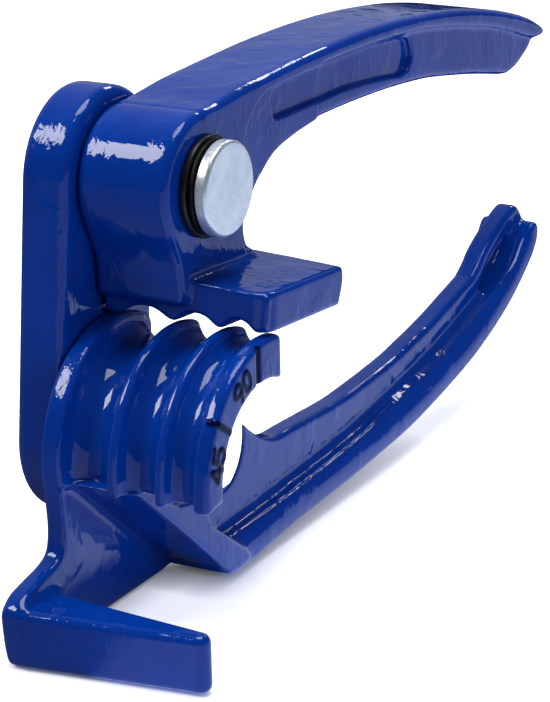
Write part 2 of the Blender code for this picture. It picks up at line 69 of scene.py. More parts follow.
LINK_Y0, LINK_Y1, LINK_R_LOW, LINK_R_TOP = 0.3, 10.8, 16.6, 17.3
RECESS_DEPTH, CBORE_DEPTH = 1.5, 3.0       # the link's front and back recesses
PIN_R, PIN_HEAD_R, PIN_HEAD_T, PIN_PROUD, GAP = 5.7, 9.4, 2.6, 0.3, 0.3
BUSH_BORE_R, BUSH_R, BUSH_INSET = 6.0, 7.5, 0.4
BORE_R, WASHER_R, CBORE_R = BUSH_R + GAP, 10.0, 9.6
CBORE_FLOOR = LINK_Y1 - CBORE_DEPTH
CLIP_Y = CBORE_FLOOR + 2.05                # middle of the pins' clip groove
TURN_STEPS = 128


# ------------------------------------------------------------------ curves
def arc(centre, radius, start, end, steps, radius_2=None):
    """Points from start to end degrees; elliptical where radius_2 is given."""
    radius_2 = radius if radius_2 is None else radius_2
    angles = [math.radians(start + (end - start) * i / steps) for i in range(steps + 1)]
    return [(centre[0] + radius * math.cos(a), centre[1] + radius_2 * math.sin(a)) for a in angles]


def smooth(points, steps=6):
    """Catmull-Rom curve through a run of points."""
    p = [np.array(q, float) for q in points]
    p = [p[0] * 2 - p[1]] + p + [p[-1] * 2 - p[-2]]
    out = []
    for i in range(1, len(p) - 2):
        a, b, c, d = p[i - 1:i + 3]
        for k in range(steps):
            t = k / steps
            q = 0.5 * (2 * b + (c - a) * t + (2 * a - 5 * b + 4 * c - d) * t * t
                       + (3 * b - a - 3 * c + d) * t ** 3)
            out.append((q[0], q[1]))
    out.append(tuple(p[-2]))
    return out


# ------------------------------------------------------------------ distance fields
def polygon(points, u, v):
    """Signed distance to a closed outline, negative inside."""
    u, v = np.broadcast_arrays(u, v)
    nearest = np.full(u.shape, 1e9, F32)
    inside = np.zeros(u.shape, bool)
    for i in range(len(points)):
        (u0, v0), (u1, v1) = points[i - 1], points[i]
        du, dv = u1 - u0, v1 - v0
        length_2 = du * du + dv * dv
        if length_2 < 1e-12:
            continue
        wu, wv = u - F32(u0), v - F32(v0)
        t = np.clip((wu * F32(du) + wv * F32(dv)) / F32(length_2), 0, 1)
        nearest = np.minimum(nearest, (wu - t * F32(du)) ** 2 + (wv - t * F32(dv)) ** 2)
        if abs(dv) > 1e-9:
            inside ^= ((v < v0) != (v < v1)) & (u < F32(du / dv) * wv + F32(u0))
    distance = np.sqrt(nearest)
    return np.where(inside, -distance, distance)


def union(a, b, radius=0.0):
    """Joined, with a round fillet in the corner."""
    if radius <= 0:
        return np.minimum(a, b)
    return (np.maximum(radius, np.minimum(a, b))
            - np.hypot(np.maximum(radius - a, 0), np.maximum(radius - b, 0)))


def both(a, b, radius=0.0):
    """Common part, with its new edge rounded."""
    return -union(-a, -b, radius)


def cut(a, b, radius=0.0):
    return both(a, -b, radius)


def between(t, a, b):
    """Negative where t lies between a and b."""
    low, high = min(a, b), max(a, b)
    return np.abs(t - F32((low + high) / 2)) - F32((high - low) / 2)


def slab(flat, thickness, edge):
    """Outline field given a thickness field, both negative inside, edge rounded."""
    a, b = flat + F32(edge), thickness + F32(edge)
    return (np.minimum(np.maximum(a, b), 0)
            + np.hypot(np.maximum(a, 0), np.maximum(b, 0)) - F32(edge))


class Shape:
    """A field with the box outside which it can't matter."""

    def __init__(self, field, lo, hi):
        self.field, self.lo, self.hi = field, lo, hi


def prism(outlines, a, b, edge=0.0, blend=0.0, plan=False):
    """Outlines, joined in the flat with a fillet of radius blend, given thickness a..b.

    They are (X, Z) and thick along Y, or (X, Y) and thick along Z for a plan.
    """
    def field(x, y, z):
        v, t = (y, z) if plan else (z, y)
        flat = polygon(outlines[0], x, v)
        for outline in outlines[1:]:
            flat = union(flat, polygon(outline, x, v), blend)
        return slab(flat, between(t, a, b), edge)

    us, vs = zip(*[p for outline in outlines for p in outline])
    box = []
    for pick in (min, max):
        u, v, t = pick(us), pick(vs), pick(a, b)
        box.append((u, v, t) if plan else (u, t, v))
    return Shape(field, *box)


def drum(radius, a, b, centre, edge=0.0):
    """Cylinder about a line along Y."""
    cx, cz = centre

    def field(x, y, z):
        return slab(np.hypot(x - F32(cx), z - F32(cz)) - F32(radius), between(y, a, b), edge)

    return Shape(field, (cx - radius, min(a, b), cz - radius), (cx + radius, max(a, b), cz + radius))


def rod(start, end, radius):
    """Round-ended bar."""
    p, q = np.array(start, float), np.array(end, float)
    e = q - p
    length_2 = max(float(e @ e), 1e-9)

    def field(x, y, z):
        t = np.clip(((x - p[0]) * e[0] + (y - p[1]) * e[1] + (z - p[2]) * e[2]) / length_2, 0, 1)
        return np.sqrt((x - p[0] - t * e[0]) ** 2 + (y - p[1] - t * e[1]) ** 2
                       + (z - p[2] - t * e[2]) ** 2).astype(F32) - F32(radius)

    return Shape(field, tuple(np.minimum(p, q) - radius), tuple(np.maximum(p, q) + radius))


class Volume:
    """A box of field samples, one every cell."""

    def __init__(self, lo, hi, cell=VOXEL):
        self.cell = cell
        self.lo = np.array(lo, float)
        size = [int(math.ceil((hi[i] - lo[i]) / cell)) + 1 for i in range(3)]
        self.axes = [(lo[i] + cell * np.arange(size[i])).astype(F32) for i in range(3)]
        self.d = np.full(size, 30.0, F32)

    def window(self, lo, hi, pad=0):
        found = []
        for i in range(3):
            first = int(np.searchsorted(self.axes[i], lo[i] - pad))
            last = int(np.searchsorted(self.axes[i], hi[i] + pad))
            found.append(slice(first, max(last, first)))
        return tuple(found)

    def coords(self, window=(slice(None),) * 3):
        x, y, z = (self.axes[i][window[i]] for i in range(3))
        return x[:, None, None], y[None, :, None], z[None, None, :]

    def apply(self, operation, shape, radius):
        window = self.window(shape.lo, shape.hi, radius + 3 * self.cell)
        if all(s.stop > s.start for s in window):
            self.d[window] = operation(self.d[window], shape.field(*self.coords(window)), radius)

    def add(self, shape, fillet=0.0):
        self.apply(union, shape, fillet)

    def cut(self, shape, edge=0.0):
        self.apply(cut, shape, edge)

    def flatten_back(self):
        self.d = np.maximum(self.d, self.coords()[1])

    def soften(self):
        for axis in range(3):
            d = np.moveaxis(self.d, axis, 0)
            m = d.copy()
            m[1:-1] = 0.25 * d[:-2] + 0.5 * d[1:-1] + 0.25 * d[2:]
            self.d = np.moveaxis(m, 0, axis)


def sample(d, points):
    """Trilinear value and gradient (per cell) of d at points given in cells."""
    def mix(a, b, t):
        return a * (1 - t) + b * t

    points = np.clip(points, 0.0, np.array(d.shape) - 1.0001)
    cell = points.astype(np.int64)
    x, y, z = cell.T
    fx, fy, fz = (points - cell).astype(F32).T
    c = [[[d[x + i, y + j, z + k] for k in (0, 1)] for j in (0, 1)] for i in (0, 1)]
    on_x = [[mix(c[0][j][k], c[1][j][k], fx) for k in (0, 1)] for j in (0, 1)]
    rise_x = [[c[1][j][k] - c[0][j][k] for k in (0, 1)] for j in (0, 1)]
    on_y = [mix(on_x[0][k], on_x[1][k], fy) for k in (0, 1)]
    rise_y = [on_x[1][k] - on_x[0][k] for k in (0, 1)]
    rise_x = [mix(rise_x[0][k], rise_x[1][k], fy) for k in (0, 1)]
    gradient = np.stack([mix(*rise_x, fz), mix(*rise_y, fz), on_y[1] - on_y[0]], 1)
    return mix(*on_y, fz), gradient


def surface(vol):
    """Surface net of the field's zero level: vertices in millimetres and quads."""
    d = np.ascontiguousarray(vol.d)
    solid = d < 0
    n = d.shape
    corners = [(i, j, k) for i in (0, 1) for j in (0, 1) for k in (0, 1)]
    count = np.zeros([k - 1 for k in n], np.uint8)
    for i, j, k in corners:
        count += solid[i:n[0] - 1 + i, j:n[1] - 1 + j, k:n[2] - 1 + k]
    mask = (count > 0) & (count < 8)
    cells = np.argwhere(mask)
    index = np.full(mask.shape, -1, np.int32)
    index[mask] = np.arange(len(cells), dtype=np.int32)

    # each vertex starts at the mean of its cell's edge crossings
    pos = np.zeros((len(cells), 3))
    hits = np.zeros(len(cells))
    value = {k: d[tuple((cells + k).T)].astype(float) for k in corners}
    for near in corners:
        for axis in range(3):
            if near[axis]:
                continue
            far = near[:axis] + (1,) + near[axis + 1:]
            va, vb = value[near], value[far]
            crossed = (va < 0) != (vb < 0)
            t = np.where(crossed, va / np.where(crossed, va - vb, 1), 0)
            p = np.array(near, float)[None, :] + t[:, None] * (np.array(far) - near)[None, :]
            pos[crossed] += p[crossed]
            hits[crossed] += 1
    pos = cells + pos / hits[:, None]
    for _ in range(2):       # onto the level itself
        v, gradient = sample(d, pos)
        step = -(v / np.maximum((gradient ** 2).sum(1), 0.02))[:, None] * gradient
        length = np.linalg.norm(step, axis=1)
        step *= np.minimum(1, 0.35 / np.maximum(length, 1e-9))[:, None]
        pos = pos + step

    quads = []
    for a in range(3):
        b, c = (a + 1) % 3, (a + 2) % 3
        along = np.moveaxis(solid, a, 0)
        e = np.argwhere(np.moveaxis(along[:-1] != along[1:], 0, a))
        e = e[(e[:, b] > 0) & (e[:, c] > 0) & (e[:, b] < n[b] - 1) & (e[:, c] < n[c] - 1)]
        ring = []
        for db, dc in ((-1, -1), (0, -1), (0, 0), (-1, 0)):
            k = e.copy()
            k[:, b] += db
            k[:, c] += dc
            ring.append(index[tuple(k.T)])
        q = np.stack(ring, 1)
        outward = ~solid[tuple(e.T)]
        q[outward] = q[outward][:, ::-1]
        quads.append(q)
    return vol.lo + pos * vol.cell, np.concatenate(quads)


# ------------------------------------------------------------------ materials
class Graph:
    """Shader nodes of one material or world."""

    def __init__(self, tree):
        self.tree = tree
        self.position = self.node("TexCoord").outputs

    def feed(self, node, inputs):
        """Sets a node's inputs from values, or links them from sockets."""
        for key, source in inputs.items():
            if isinstance(source, bpy.types.NodeSocket):
                self.tree.links.new(source, node.inputs[key])
            else:
                node.inputs[key].default_value = source

    def fill(self, name, inputs):
        self.feed(self.tree.nodes[name], inputs)

    def node(self, kind, inputs=None, **settings):
        node = self.tree.nodes.new("ShaderNode" + kind)
        for key, value in settings.items():
            setattr(node, key, value)
        self.feed(node, inputs or {})
        return node

    def noise(self, scale, detail=3.0, rough=0.5, distort=0.0, stretch=None):
        node = self.node("TexNoise", {"Scale": scale, "Detail": detail, "Roughness": rough,
                                      "Distortion": distort})
        vector = self.position["Object"]
        if stretch:
            vector = self.node("Mapping", {"Scale": stretch, "Vector": vector}).outputs[0]
        self.feed(node, {"Vector": vector})
        return node.outputs["Fac"]

    def ramp(self, factor, stops):
        node = self.node("ValToRGB", {"Fac": factor})
        elements = node.color_ramp.elements
        while len(elements) < len(stops):
            elements.new(0.5)
        for element, (position, colour) in zip(elements, stops):
            element.position = position
            element.color = (*colour, 1)
        return node.outputs["Color"]

    def remap(self, value, across, to):
        return self.node("MapRange", {
            "Value": value, "From Min": across[0], "From Max": across[1],
            "To Min": to[0], "To Max": to[1]}).outputs["Result"]

    def math(self, operation, a, b):
        return self.node("Math", {0: a, 1: b}, operation=operation).outputs[0]

    def bump(self, height, strength, distance, normal=None):
        inputs = {"Strength": strength, "Distance": distance, "Height": height}
        if normal is not None:
            inputs["Normal"] = normal
        return self.node("Bump", inputs).outputs["Normal"]

    def split_rays(self, others, camera, output):
        """Shows the camera one shader and every other ray another."""
        seen = self.node("LightPath").outputs["Is Camera Ray"]
        mixed = self.node("MixShader", {0: seen, 1: others.outputs[0], 2: camera.outputs[0]})
        self.fill(output, {"Surface": mixed.outputs[0]})


def new_material(name):
    material = bpy.data.materials.new(name)
    material.use_nodes = True
    return material, Graph(material.node_tree)


def make_enamel():
    """Gloss ultramarine enamel: clear wet coat, slow ripples, fine orange peel, sags, with painted
    shade darkening the degree marks.
    """
    material, g = new_material("gloss_ultramarine_enamel")
    blue = g.ramp(g.noise(scale=60, detail=2),
                  stops=[(0.3, (0.0006, 0.032, 0.270)), (0.7, (0.0012, 0.042, 0.340))])
    # painted shade: on and near the raised digits, the tick and the cut ninety line the blue turns
    # deep navy and the coat thins, standing in for their shading
    mark = g.node("Attribute", attribute_name="mark").outputs["Fac"]
    painted_mark_shade = (0.0006, 0.004, 0.040, 1)
    colour = g.node("Mix", {"Factor": mark, "A": blue, "B": painted_mark_shade}, data_type="RGBA")
    g.fill("Principled BSDF", {
        "Base Color": colour.outputs["Result"],
        "Roughness": g.remap(g.noise(scale=220, detail=3), across=(0.3, 0.7), to=(0.30, 0.42)),
        "Specular IOR Level": 0.0,
        "Coat Weight": g.remap(mark, across=(0, 1), to=(1.0, 0.35)),
        "Coat IOR": 1.40,
        "Coat Roughness": g.remap(g.noise(scale=140, detail=2), across=(0.3, 0.7),
                                  to=(0.01, 0.035)),
    })
    ripples = g.noise(scale=70, detail=2, rough=0.45, distort=0.3)
    normal = g.bump(ripples, strength=0.45, distance=0.0007)
    peel = g.noise(scale=420, detail=2, rough=0.5)
    normal = g.bump(peel, strength=0.22, distance=0.00010, normal=normal)
    # runs and sags here and there
    patch = g.remap(g.noise(scale=110, detail=1), across=(0.49, 0.59), to=(0, 1))
    runs = g.noise(scale=700, detail=2, rough=0.5, distort=0.4, stretch=(1, 1, 0.45))
    normal = g.bump(g.math("MULTIPLY", patch, runs), strength=0.55, distance=0.00026,
                    normal=normal)
    g.fill("Principled BSDF", {"Normal": normal, "Coat Normal": normal})
    return material


def make_zinc():
    """Bright zinc plate with faint crossed scratches."""
    material, g = new_material("bright_zinc_plate")
    colour = g.ramp(g.noise(scale=260, detail=4, rough=0.6),
                    stops=[(0.28, (0.66, 0.76, 0.83)), (0.72, (0.92, 0.98, 1.0))])
    upright = g.noise(scale=1500, detail=3, rough=0.6, stretch=(1, 1, 0.12))
    level = g.noise(scale=1300, detail=3, rough=0.6, stretch=(0.12, 1, 1))
    scratches = g.math("MULTIPLY", upright, level)
    g.fill("Principled BSDF", {
        "Base Color": colour,
        "Metallic": 0.72,
        "Roughness": g.remap(scratches, across=(0.1, 0.45), to=(0.20, 0.40)),
        "Normal": g.bump(scratches, strength=0.35, distance=0.00004),
    })
    return material


def make_plain(name, dark, light, metallic, roughness, scale, relief):
    """Mottled finish; scale is the mottle's, and finer noises follow from it."""
    material, g = new_material(name)
    g.fill("Principled BSDF", {
        "Base Color": g.ramp(g.noise(scale=scale, detail=4, rough=0.6),
                             stops=[(0.3, dark), (0.7, light)]),
        "Metallic": metallic,
        "Roughness": g.remap(g.noise(scale=scale * 2.3, detail=3), across=(0.3, 0.7),
                             to=roughness),
        "Normal": g.bump(g.noise(scale=scale * 4, detail=3), strength=0.3, distance=relief),
    })
    return material


FINISHES = {       # by the slot each one fills
    "enamel": make_enamel(),
    "zinc": make_zinc(),
    "black_washer": make_plain(
        "black_washer", dark=(0.004, 0.004, 0.005), light=(0.014, 0.014, 0.015),
        metallic=0.2, roughness=(0.28, 0.45), scale=700, relief=0.00003),
    "spring_steel": make_plain(
        "spring_steel", dark=(0.012, 0.011, 0.010), light=(0.035, 0.031, 0.026),
        metallic=0.8, roughness=(0.35, 0.5), scale=800, relief=0.00003),
    "bronze": make_plain(
        "sintered_bronze", dark=(0.36, 0.24, 0.11), light=(0.52, 0.36, 0.18),
        metallic=1.0, roughness=(0.38, 0.6), scale=1800, relief=0.00005),
    "nylon": make_plain(
        "natural_nylon", dark=(0.60, 0.58, 0.50), light=(0.72, 0.70, 0.63),
        metallic=0.0, roughness=(0.4, 0.55), scale=500, relief=0.00002),
}


# ------------------------------------------------------------------ objects
def link_object(name, data):
    ob = bpy.data.objects.new(name, data)
    bpy.context.scene.collection.objects.link(ob)
    return ob


def fit(name, mesh, body, node, slot):
    """Puts a mesh in the scene in place of a CAD node."""
    ob = link_object(name, mesh)
    mesh.materials.append(FINISHES[slot])
    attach(ob, body)
    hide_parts(node)
    return ob


def casting(name, vol, body, node):
    verts, quads = surface(vol)
    mesh = bpy.data.meshes.new(name)
    mesh.vertices.add(len(verts))
    mesh.vertices.foreach_set("co", ((verts - ORIGIN) * MM).astype(F32).ravel())
    mesh.loops.add(quads.size)
    mesh.loops.foreach_set("vertex_index", quads.astype(np.int32).ravel())
    mesh.polygons.add(len(quads))
    mesh.polygons.foreach_set("loop_start", (np.arange(len(quads)) * 4).astype(np.int32))
    mesh.polygons.foreach_set("use_smooth", np.ones(len(quads), bool))
    mesh.update(calc_edges=True)
    mesh.validate()
    return fit(name, mesh, body, node, "enamel")


def lathe(name, profile, centre, wave=None):
    """Profile of (radius, Y) turned about a line along Y; capped at the axis or a ring."""
    capped = profile[0][0] < 1e-6
    rings = profile[1:-1] if capped else profile
    angles = np.linspace(0, 2 * math.pi, TURN_STEPS, endpoint=False)
    verts = []
    for radius, y in rings:
        ys = np.full(TURN_STEPS, y) if wave is None else y + wave(angles)
        verts.append(np.stack([centre[0] + radius * np.cos(angles), ys,
                               centre[1] + radius * np.sin(angles)], 1))
    i = np.arange(TURN_STEPS)
    j = (i + 1) % TURN_STEPS
    faces = []
    for k in range(len(rings) - capped):
        a, b = k * TURN_STEPS, (k + 1) % len(rings) * TURN_STEPS
        faces += np.stack([a + i, b + i, b + j, a + j], 1).tolist()
    if capped:
        faces += [i.tolist(), ((len(rings) - 1) * TURN_STEPS + i)[::-1].tolist()]
    mesh = bpy.data.meshes.new(name)
    mesh.from_pydata([tuple(p) for p in (np.concatenate(verts) - ORIGIN) * MM], [], faces)
    bm = bmesh.new()
    bm.from_mesh(mesh)
    bmesh.ops.recalc_face_normals(bm, faces=bm.faces)
    bm.to_mesh(mesh)
    bm.free()
    mesh.shade_smooth()
    mesh.set_sharp_from_angle(angle=math.radians(38))
    return mesh


# ------------------------------------------------------------------ lower casting
# outlines are (X, Z) points in order round the shape
PLATE = (
    arc(LOW, 18.9, -28, 48.0, 24) + [(11.9, 16.2), (11.9, 19.8), (11.4, 21.2)]
    + arc(LOW, FORMER_R, 63.5, 178, 60)
    + smooth([(-24.2, -2.0), (-23.6, -8.0), (-23.4, -13.0), (-24.4, -16.6), (-27.5, -18.2),
              (-33.0, -19.4), (-37.4, -20.6), (-39.6, -22.8), (-39.8, -25.5), (-39.0, -31.0),
              (-37.6, -33.6), (-35.6, FLOOR + 0.1)])
    + [(13.0, FLOOR + 0.1), (16.6, -33.2), (20.5, -27.0), (21.6, -18.0)])
BOSS = (
    smooth([(-22.9, -2.6), (-20.4, -3.4), (-17.6, -5.6), (-12.0, -10.2)], 4)
    + smooth([(8.0, -27.3), (12.0, -30.5), (14.2, -31.8), (17.0, -32.4), (22.0, -31.6)], 5)
    + smooth([(19.5, -28.3), (12.0, -22.8), (7.5, -19.6), (5.9, -17.4), (5.6, -14.0),
              (5.6, -12.0)], 5)
    + [(-6.0, -10.0), (-16.0, -2.0)])
FLANGE_LOW = smooth([
    (13.0, -32.2), (17.0, -32.9), (25.3, -32.6), (38.7, -31.5), (52.1, -30.9), (65.9, -30.3),
    (80.3, -29.4), (95.1, -28.2), (110.5, -25.8), (126.5, -22.5), (134.7, -20.1), (143.0, -17.1),
    (151.5, -13.1), (160.0, -7.6), (163.4, -4.4), (164.8, -1.4), (164.7, 0.4)])
FLANGE_TOP = smooth([
    (163.6, 1.6), (161.6, 1.2), (158.6, -1.8), (152.0, -6.6), (143.0, -10.6), (131.0, -14.2),
    (118.0, -17.2), (104.0, -19.6), (92.0, -21.2), (80.0, -22.7), (67.9, -23.7), (50.0, -24.6),
    (30.0, -25.4), (17.0, -25.6), (13.0, -25.6)])
ABOVE_FLANGE_LOW = FLANGE_LOW + [(195, 0.4), (195, 60), (-25, 60), (-25, -32.2)]
WEB_TOP = smooth([
    (27.6, -3.2), (30.4, -6.6), (34.4, -9.8), (38.6, -12.0), (43.5, -13.4), (50.0, -13.7),
    (60.0, -14.2), (72.0, -14.7), (85.7, -14.2), (99.0, -13.3), (107.0, -12.2), (115.0, -11.0),
    (123.0, -9.5), (131.0, -7.7), (138.8, -6.0)])
WEB_TAIL = smooth([
    (138.8, -6.0), (142.2, -4.0), (145.6, -1.4), (150.6, 1.2), (156.0, 3.4), (160.4, 4.9),
    (163.0, 5.2), (165.2, 3.6), (166.2, 1.2), (165.6, -1.8), (162.6, -5.2)])
WEB_LOW = smooth([
    (162.6, -5.2), (155.0, -10.2), (147.0, -14.2), (137.0, -18.0), (125.0, -21.4), (109.0, -24.6),
    (91.0, -27.0), (73.6, -28.4), (56.9, -29.2), (40.7, -30.0), (25.0, -31.0), (15.0, -31.0)])
WEB = (WEB_TOP + WEB_TAIL + WEB_LOW
       + [(6.0, -24.6), (4.0, -20.6), (8.6, -18.4), (15.6, -17.0), EYE, (26.4, -3.0)])
# dish in the front of the web's tail, inside its rim
DISH = (smooth([(141.6, -9.6), (144.8, -6.6), (149.0, -4.0), (154.0, -1.8), (159.0, -0.1),
                (161.8, 0.2)])
        + [(163.6, -1.6), (164.0, -6.0), (152.0, -14.5), (141.0, -18.0)])
HUB = arc(LOW, 18.6, -95.6, 195.0, 60)
HOLLOW = (arc(BORE_AT, FORMER_BORE, -40, 185, 70)
          + [(-9.6, -8.1), (-7.2, -9.4), (-2.0, -11.0), (11.0, -11.2)])
# (X, Y) plan of the wall that reaches forward at the left end
HOOK_PLAN = (
    [(-40.0, -1.2), (-40.2, -4.6), (-37.4, -25.0), (-35.9, -37.2)]
    + arc((-33.5, -39.6), 2.3, 200, 345, 10)
    + [(-30.9, -36.0), (-29.6, -22.0), (-28.0, -6.6), (-27.0, -3.4), (-27.0, -1.2)])

# strokes of the degree marks, in a box 2.6 wide and 4 high about its middle
DIGITS = {
    "0": [arc((0, 0), 1.25, 0, 360, 16, radius_2=2.0)],
    "4": [[(0.8, -2.1), (0.8, 2.0), (-1.35, -0.8), (1.5, -0.8)]],
    "5": [[(1.2, 2.0), (-1.0, 2.0), (-1.15, 0.3)]
          + arc((0.0, -0.65), 1.3, 130, -140, 10, radius_2=1.35)],
    "9": [arc((0, 0.8), 1.25, 0, 360, 14, radius_2=1.2),
          [(1.25, 0.8), (1.15, -0.65), (0.3, -2.05)]],
}
# digit, angle on the former, radius
DIGIT_PLACES = (("4", 169.6, 20.9), ("5", 159.6, 20.8), ("9", 124.4, 20.5), ("0", 114.4, 20.4))
DIGIT_STROKE_R, TICK_R, TICK_ANGLE = 0.47, 0.5, 145.2
# (radius, Y) of the forty-five tick, carried over the rounded edge
TICK = [(18.4, MARK_Y), (23.5, MARK_Y), (24.2, FORMER_FACE + 0.55), (24.4, FORMER_FACE + 1.7)]
NINETY_LINE = rod((-3.8, FORMER_FACE - 0.15, 15.0), (-3.8, FORMER_FACE - 0.15, 25.0), 0.75)


def former_sector():
    """The grooved sector on its own."""
    vol = Volume((-27, -39, -8), (12, 2, 27))

    def annulus(x, y, z):
        return slab(between(np.hypot(x, z), FORMER_CORE, FORMER_R), between(y, 0, FORMER_FACE), 1.0)

    vol.add(Shape(annulus, (-25, FORMER_FACE, -25), (25, 0, 25)))
    for groove_y, radius in GROOVES:
        def ring(x, y, z):
            return (np.hypot(np.hypot(x, z) - F32(FORMER_R), y - F32(groove_y))
                    - F32(radius))
        vol.cut(Shape(ring, (-30, groove_y - radius, -30), (30, groove_y + radius, 30)), edge=0.75)

    def ends(x, y, z):
        a = math.radians(FORMER_END)
        # the upright end is set back towards the front face
        stop = FORMER_CUT - 3.7 * np.clip((-30.2 - y) / 3.4, 0, 1)
        return np.maximum(x - stop.astype(F32), -x * F32(math.sin(a)) + z * F32(math.cos(a)))

    vol.apply(both, Shape(ends, (-30, -40, -30), (30, 3, 30)), 1.0)
    return vol


def flange_field(x, y, z):
    """Lower flange, its front face leaning back as it rises."""
    # its back edge runs forward towards the tail
    back_y = F32(-3.0) - F32(2.6) * np.clip((x - F32(118.0)) / F32(22.0), 0, 1)
    d = slab(polygon(FLANGE_LOW + FLANGE_TOP, x, z), np.maximum(y - back_y, HEAD_FACE - y), 1.0)
    depth = np.maximum(0, -polygon(ABOVE_FLANGE_LOW, x, z) - F32(2.9))
    slope, slope_scale = F32(0.50), F32(0.894)
    return both(d, (-(y - HEAD_FACE) + slope * depth) * slope_scale, 1.2)


def web_field(x, y, z):
    d = prism([WEB], -9.2, -14.6, edge=1.3).field(x, y, z)
    # thinned from behind towards the opening
    flare, flare_scale = F32(1.9), F32(0.466)
    cone = (np.hypot(x - F32(EYE[0]), z - F32(EYE[1])) - F32(EYE_R)
            - flare * (y + F32(14.3))) * flare_scale
    d = cut(d, cone, 0.25)
    return cut(d, prism([DISH], -12.0, -30).field(x, y, z), 0.8)


def raised_marks():
    """Rods for the digits and the forty-five tick on the former's front face."""
    marks = []
    for digit, angle, radius in DIGIT_PLACES:
        a = math.radians(angle)
        out = np.array([math.cos(a), math.sin(a)])
        along = np.array([math.sin(a), -math.cos(a)])
        for line in DIGITS[digit]:
            points = [out * (radius + v) + along * u for u, v in line]
            for p, q in zip(points[:-1], points[1:]):
                marks.append(rod((p[0], MARK_Y, p[1]), (q[0], MARK_Y, q[1]), DIGIT_STROKE_R))
    a = math.radians(TICK_ANGLE)
    points = [(radius * math.cos(a), y, radius * math.sin(a)) for radius, y in TICK]
    return marks + [rod(p, q, TICK_R) for p, q in zip(points[:-1], points[1:])]


def lower_volume(marks):
    vol = Volume((-44, -44.5, -36.5), (168, 2.2, 27.2))
    vol.add(prism([PLATE], 0, -PLATE_T, edge=1.0))
    vol.add(prism([HOOK_PLAN], FLOOR, -22.4, edge=1.7, plan=True), fillet=2.2)
    vol.add(prism([BOSS], -3.0, HEAD_FACE, edge=1.0), fillet=2.0)
    vol.add(prism([HUB], -0.6, HUB_FACE, edge=0.6), fillet=0.5)

    # the grooved sector is read back from its own volume
    sector = former_sector()
    window = vol.window((-26, -38, -7), (11, 1, 26))
    grid = np.broadcast_arrays(*vol.coords(window))
    points = np.stack([axis.ravel() for axis in grid], 1)
    value, _ = sample(sector.d, (points - sector.lo) / sector.cell)
    vol.d[window] = union(vol.d[window], value.reshape(grid[0].shape).astype(F32), 0.35)

    vol.cut(prism([HOLLOW], HUB_FACE, -46), edge=0.6)
    vol.cut(drum(BORE_R, 6, -40, LOW), edge=0.5)
    vol.add(Shape(flange_field, (11, -20, -34), (166, -3, 3)), fillet=0.5)
    vol.add(Shape(web_field, (2, -14.6, -33), (167, -9.2, 7)), fillet=2.2)
    vol.d = both(vol.d, F32(FLOOR) - vol.coords()[2], 0.5)      # flat underside
    vol.flatten_back()
    for mark in marks:
        vol.add(mark, fillet=0.1)
    vol.cut(NINETY_LINE, edge=0.12)
    vol.soften()
    return vol


def build_lower_casting():
    marks = raised_marks()
    mesh = casting("lower_casting_shell", lower_volume(marks), "frame", "lower_casting").data
    # closeness to a mark is stored on the mesh, for the enamel to darken there as painted shade
    co = np.empty(len(mesh.vertices) * 3, F32)
    mesh.vertices.foreach_get("co", co)
    co = co.reshape(-1, 3) / F32(MM) + ORIGIN.astype(F32)
    near = np.full(len(co), 9.0, F32)
    face = np.flatnonzero(co[:, 1] < FORMER_FACE + MARK_DEPTH_SEARCH)
    for mark in marks + [NINETY_LINE]:
        near[face] = np.minimum(near[face], mark.field(*co[face].T))
    full, fade = 0.10, 0.25       # distance of full darkness, width of the fade past it
    shade = np.clip(1.0 - (near - full) / fade, 0, 1).astype(F32)
    mesh.attributes.new("mark", "FLOAT", "POINT").data.foreach_set("value", shade)


# ------------------------------------------------------------------ swing link
def build_link():
    dx, dz = TOP[0] - LOW[0], TOP[1] - LOW[1]
    lean = math.degrees(math.atan2(dz, dx))
    tilt = math.degrees(math.asin((LINK_R_TOP - LINK_R_LOW) / math.hypot(dx, dz)))
    outline = (arc(TOP, LINK_R_TOP, lean - 90 - tilt, lean + 90 + tilt, 60)
               + arc(LOW, LINK_R_LOW, lean + 90 + tilt, lean + 270 - tilt, 60))
    vol = Volume((-19.5, -1.5, -19.5), (26.5, 12.8, 70.5))
    vol.add(prism([outline], LINK_Y0, LINK_Y1, edge=2.1))
    for centre in (LOW, TOP):
        vol.cut(drum(PIN_R + GAP, -5, 20, centre), edge=0.3)
        vol.cut(drum(WASHER_R + GAP, -5, LINK_Y0 + RECESS_DEPTH, centre), edge=0.3)
        vol.cut(drum(CBORE_R, CBORE_FLOOR, 20, centre), edge=0.6)
    vol.soften()
    casting("link_plate_shell", vol, "link", "link_plate")


# ------------------------------------------------------------------ upper casting
HEAD = (
    arc(TOP, HEAD_R, 92, 188, 40)
    + smooth([(-7.2, 46.6), (-5.6, 43.0), (-3.9, 39.6), (-2.7, 36.0), (-2.4, 32.0)])
    + [(-2.0, 29.2), (22.6, 28.3)]
    + smooth([(27.0, 31.2), (25.4, 34.2), (24.6, 37.4), (25.6, 40.4), (30.4, 45.2), (37.0, 49.4),
              (46.0, 51.2), (56.0, 52.0)])
    + [(56.0, 64.0), (35.0, 64.6), (14.0, 64.2)])
